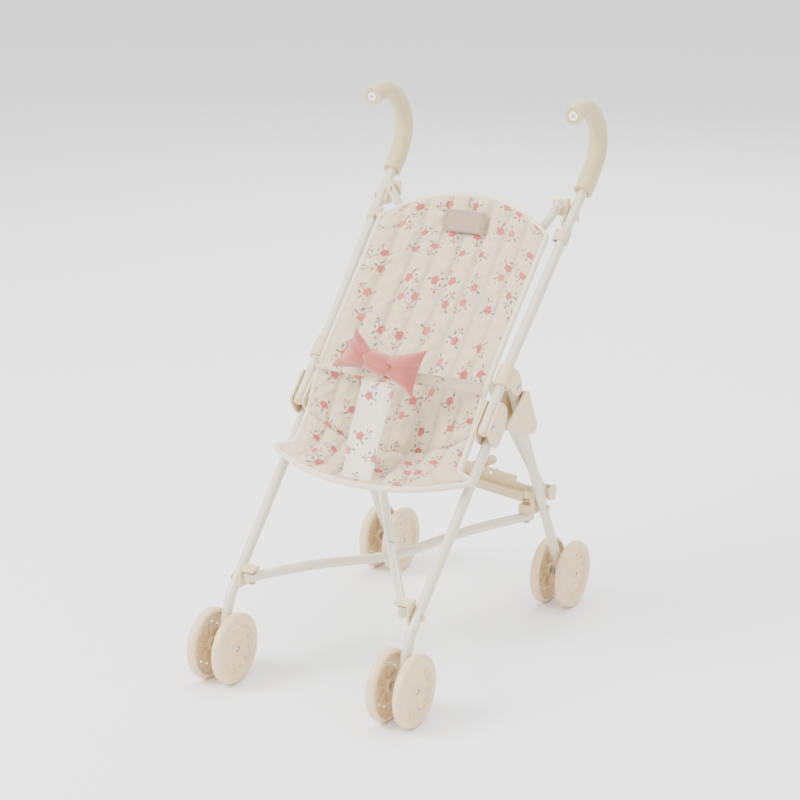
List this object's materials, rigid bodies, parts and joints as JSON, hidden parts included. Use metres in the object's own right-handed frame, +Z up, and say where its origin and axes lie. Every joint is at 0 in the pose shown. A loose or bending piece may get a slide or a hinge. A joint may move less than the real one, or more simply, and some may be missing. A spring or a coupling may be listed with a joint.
{
  "type": "doll stroller",
  "caption": "Folding umbrella doll stroller: angled foam-grip handles, crossed tube frame, paired wheels and a quilted printed fabric sling seat with belt and bow.",
  "frame": {"origin": "centre of the wheels' footprint length and width on the floor", "axes": "+Z up, -Y forwards (towards the footwell end), +X to the right side as seen from the front"},
  "size_m": [0.251, 0.4346, 0.5455],
  "materials": {
    "frame_paint": "gloss",
    "joint_plastic": "satin",
    "wheel_plastic": "satin",
    "grip_foam": "matte",
    "plug_plastic": "gloss",
    "rivet_steel": "satin",
    "printed_cotton": "matte",
    "bow_ribbon": "matte",
    "label_cloth": "matte"
  },
  "bodies": {
    "rear_left": {"rear_leg_left": "frame_paint", "rear_bracket_left": "joint_plastic", "rear_axle_left": "rivet_steel", "lobe_pin_left": "rivet_steel"},
    "handle_left": {"handle_tube_left": "frame_paint", "handle_grip_left": "grip_foam", "grip_plug_left": "plug_plastic", "handle_end_plug_left": "joint_plastic", "joint_collar_left": "joint_plastic", "top_strap_left": "printed_cotton", "socket_pin_left": "rivet_steel"},
    "front_left": {"leg_socket_left": "joint_plastic", "front_leg_left": "frame_paint", "front_axle_left": "rivet_steel"},
    "front_clevis_left": {"front_clevis_left": "joint_plastic"},
    "rear_clevis_left": {"rear_clevis_left": "joint_plastic"},
    "top_bracket_left": {"top_bracket_left": "joint_plastic"},
    "back_foot_left": {"back_foot_left": "joint_plastic"},
    "front_wheel_outer_left": {"front_wheel_outer_left": "wheel_plastic"},
    "front_wheel_inner_left": {"front_wheel_inner_left": "wheel_plastic"},
    "rear_wheel_outer_left": {"rear_wheel_outer_left": "wheel_plastic"},
    "rear_wheel_inner_left": {"rear_wheel_inner_left": "wheel_plastic"},
    "rear_right": {"rear_leg_right": "frame_paint", "rear_bracket_right": "joint_plastic", "rear_axle_right": "rivet_steel", "lobe_pin_right": "rivet_steel"},
    "handle_right": {"handle_tube_right": "frame_paint", "handle_grip_right": "grip_foam", "grip_plug_right": "plug_plastic", "handle_end_plug_right": "joint_plastic", "joint_collar_right": "joint_plastic", "top_strap_right": "printed_cotton", "socket_pin_right": "rivet_steel"},
    "front_right": {"leg_socket_right": "joint_plastic", "front_leg_right": "frame_paint", "front_axle_right": "rivet_steel"},
    "front_clevis_right": {"front_clevis_right": "joint_plastic"},
    "rear_clevis_right": {"rear_clevis_right": "joint_plastic"},
    "top_bracket_right": {"top_bracket_right": "joint_plastic"},
    "back_foot_right": {"back_foot_right": "joint_plastic"},
    "front_wheel_outer_right": {"front_wheel_outer_right": "wheel_plastic"},
    "front_wheel_inner_right": {"front_wheel_inner_right": "wheel_plastic"},
    "rear_wheel_outer_right": {"rear_wheel_outer_right": "wheel_plastic"},
    "rear_wheel_inner_right": {"rear_wheel_inner_right": "wheel_plastic"},
    "back_bar_front": {"back_bar_front": "frame_paint", "back_pin": "rivet_steel"},
    "back_bar_rear": {"back_bar_rear": "frame_paint"},
    "floor_bar_upper": {"floor_bar_upper": "frame_paint"},
    "floor_bar_lower": {"floor_bar_lower": "frame_paint", "floor_pin": "rivet_steel"},
    "brace_right": {"brace_right": "joint_plastic", "brace_pin": "rivet_steel", "release_lever": "joint_plastic"},
    "brace_left": {"brace_left": "joint_plastic"},
    "sling": {"seat_back": "printed_cotton", "label_patch": "label_cloth", "waist_belt": "printed_cotton", "bow": "bow_ribbon"},
    "sling_pan": {"seat_pan": "printed_cotton", "crotch_strap": "printed_cotton"}
  },
  "joints": [
    {"name": "umbrella_fold", "type": "hinge", "parent": "rear_left", "child": "handle_left", "pos_m": [-0.1055, 0.03335, 0.27645], "axis": [1, 0, 0], "range_deg": [0, 18], "deforming": ["seat_back", "seat_pan", "waist_belt", "crotch_strap"]},
    {"name": "front_leg_swing_left", "type": "hinge", "parent": "handle_left", "child": "front_left", "pos_m": [-0.1055, -0.02267, 0.25062], "axis": [1, 0, 0], "range_deg": [-35.3, 0]},
    {"name": "front_clevis_tilt_left", "type": "hinge", "parent": "front_left", "child": "front_clevis_left", "pos_m": [-0.1019, -0.15045, 0.0965], "axis": [1, 0, 0], "range_deg": [0, 11.9]},
    {"name": "top_bracket_tilt_left", "type": "hinge", "parent": "handle_left", "child": "top_bracket_left", "pos_m": [-0.112, 0.15315, 0.4244], "axis": [1, 0, 0], "range_deg": [-8.8, 0]},
    {"name": "back_foot_tilt_left", "type": "hinge", "parent": "rear_left", "child": "back_foot_left", "pos_m": [-0.101, 0.12355, 0.136], "axis": [1, 0, 0], "range_deg": [0, 10.2]},
    {"name": "back_bar_front_turn", "type": "hinge", "parent": "back_foot_left", "child": "back_bar_front", "pos_m": [-0.101, 0.12355, 0.136], "axis": [0, -0.9965, 0.0836], "range_deg": [0, 10.1]},
    {"name": "brace_swing_left", "type": "hinge", "parent": "rear_clevis_left", "child": "brace_left", "pos_m": [-0.089, 0.11355, 0.137], "axis": [0, 1, 0], "range_deg": [-39.7, 0]},
    {"name": "handle_lean_right", "type": "hinge", "parent": "rear_right", "child": "handle_right", "pos_m": [0.1055, 0.03335, 0.27645], "axis": [1, 0, 0], "range_deg": [0, 18]},
    {"name": "front_leg_swing_right", "type": "hinge", "parent": "handle_right", "child": "front_right", "pos_m": [0.1055, -0.02267, 0.25062], "axis": [1, 0, 0], "range_deg": [-35.3, 0]},
    {"name": "front_clevis_tilt_right", "type": "hinge", "parent": "front_right", "child": "front_clevis_right", "pos_m": [0.1019, -0.15045, 0.0965], "axis": [1, 0, 0], "range_deg": [0, 11.9]},
    {"name": "top_bracket_tilt_right", "type": "hinge", "parent": "handle_right", "child": "top_bracket_right", "pos_m": [0.112, 0.15315, 0.4244], "axis": [1, 0, 0], "range_deg": [-8.8, 0]},
    {"name": "back_foot_tilt_right", "type": "hinge", "parent": "rear_right", "child": "back_foot_right", "pos_m": [0.101, 0.12355, 0.136], "axis": [1, 0, 0], "range_deg": [0, 10.2]},
    {"name": "back_bar_rear_turn", "type": "hinge", "parent": "back_foot_right", "child": "back_bar_rear", "pos_m": [0.101, 0.12355, 0.136], "axis": [0, -0.9965, 0.0836], "range_deg": [-10.1, 0]},
    {"name": "brace_swing_right", "type": "hinge", "parent": "rear_clevis_right", "child": "brace_right", "pos_m": [0.089, 0.11355, 0.137], "axis": [0, 1, 0], "range_deg": [0, 39.7]},
    {"name": "rear_clevis_tilt_left", "type": "hinge", "parent": "rear_left", "child": "rear_clevis_left", "pos_m": [-0.105, 0.11355, 0.124], "axis": [1, 0, 0], "range_deg": [-5.9, 0]},
    {"name": "floor_bar_upper_turn", "type": "hinge", "parent": "rear_clevis_left", "child": "floor_bar_upper", "pos_m": [-0.087, 0.11055, 0.111], "axis": [0, -0.0383, 0.9993], "range_deg": [-11.3, 0]},
    {"name": "floor_cross_turn", "type": "hinge", "parent": "floor_bar_upper", "child": "floor_bar_lower", "pos_m": [0, -0.02146, 0.10594], "axis": [0, -0.0383, 0.9993], "range_deg": [0, 22.2]},
    {"name": "floor_bar_lower_turn", "type": "hinge", "parent": "floor_bar_lower", "child": "rear_clevis_right", "pos_m": [0.087, 0.11055, 0.111], "axis": [0, -0.0383, 0.9993], "range_deg": [-11.3, 0]},
    {"name": "rear_clevis_tilt_right", "type": "hinge", "parent": "rear_clevis_right", "child": "rear_right", "pos_m": [0.105, 0.11355, 0.124], "axis": [1, 0, 0], "range_deg": [0, 5.9]},
    {"name": "sling_shift", "type": "slide", "parent": "handle_left", "child": "sling", "axis": [-1, 0, 0], "range_m": [0, 0.0269]},
    {"name": "seat_pan_swing", "type": "hinge", "parent": "sling", "child": "sling_pan", "pos_m": [0, -0.02267, 0.25062], "axis": [1, 0, 0], "range_deg": [-35.3, 0]},
    {"name": "front_wheel_outer_left_spin", "type": "hinge", "parent": "front_left", "child": "front_wheel_outer_left", "pos_m": [-0.11585, -0.18165, 0.036], "axis": [1, 0, 0], "continuous": true},
    {"name": "front_wheel_inner_left_spin", "type": "hinge", "parent": "front_left", "child": "front_wheel_inner_left", "pos_m": [-0.08655, -0.18165, 0.036], "axis": [1, 0, 0], "continuous": true},
    {"name": "front_wheel_outer_right_spin", "type": "hinge", "parent": "front_right", "child": "front_wheel_outer_right", "pos_m": [0.11585, -0.18165, 0.036], "axis": [1, 0, 0], "continuous": true},
    {"name": "front_wheel_inner_right_spin", "type": "hinge", "parent": "front_right", "child": "front_wheel_inner_right", "pos_m": [0.08655, -0.18165, 0.036], "axis": [1, 0, 0], "continuous": true},
    {"name": "rear_wheel_outer_left_spin", "type": "hinge", "parent": "rear_left", "child": "rear_wheel_outer_left", "pos_m": [-0.11965, 0.15875, 0.036], "axis": [1, 0, 0], "continuous": true},
    {"name": "rear_wheel_inner_left_spin", "type": "hinge", "parent": "rear_left", "child": "rear_wheel_inner_left", "pos_m": [-0.09035, 0.15875, 0.036], "axis": [1, 0, 0], "continuous": true},
    {"name": "rear_wheel_outer_right_spin", "type": "hinge", "parent": "rear_right", "child": "rear_wheel_outer_right", "pos_m": [0.11965, 0.15875, 0.036], "axis": [1, 0, 0], "continuous": true},
    {"name": "rear_wheel_inner_right_spin", "type": "hinge", "parent": "rear_right", "child": "rear_wheel_inner_right", "pos_m": [0.09035, 0.15875, 0.036], "axis": [1, 0, 0], "continuous": true}
  ],
  "couplings": [
    {"joint": "front_leg_swing_left", "follows": "umbrella_fold", "ratio": -1.9351},
    {"joint": "front_clevis_tilt_left", "follows": "umbrella_fold", "ratio": 0.6352},
    {"joint": "top_bracket_tilt_left", "follows": "umbrella_fold", "ratio": -0.459},
    {"joint": "back_foot_tilt_left", "follows": "umbrella_fold", "ratio": 0.5404},
    {"joint": "back_bar_front_turn", "follows": "umbrella_fold", "ratio": 0.5346},
    {"joint": "brace_swing_left", "follows": "umbrella_fold", "ratio": -2.176},
    {"joint": "handle_lean_right", "follows": "umbrella_fold", "ratio": 1},
    {"joint": "front_leg_swing_right", "follows": "umbrella_fold", "ratio": -1.9351},
    {"joint": "front_clevis_tilt_right", "follows": "umbrella_fold", "ratio": 0.6352},
    {"joint": "top_bracket_tilt_right", "follows": "umbrella_fold", "ratio": -0.459},
    {"joint": "back_foot_tilt_right", "follows": "umbrella_fold", "ratio": 0.5404},
    {"joint": "back_bar_rear_turn", "follows": "umbrella_fold", "ratio": -0.5346},
    {"joint": "brace_swing_right", "follows": "umbrella_fold", "ratio": 2.176},
    {"joint": "rear_clevis_tilt_left", "follows": "umbrella_fold", "ratio": -0.3009},
    {"joint": "floor_bar_upper_turn", "follows": "umbrella_fold", "ratio": -0.6023},
    {"joint": "floor_cross_turn", "follows": "umbrella_fold", "ratio": 1.2046},
    {"joint": "floor_bar_lower_turn", "follows": "umbrella_fold", "ratio": -0.6023},
    {"joint": "rear_clevis_tilt_right", "follows": "umbrella_fold", "ratio": 0.3009},
    {"joint": "sling_shift", "follows": "umbrella_fold", "m_per_rad": 0.08404},
    {"joint": "seat_pan_swing", "follows": "umbrella_fold", "ratio": -1.9351}
  ]
}
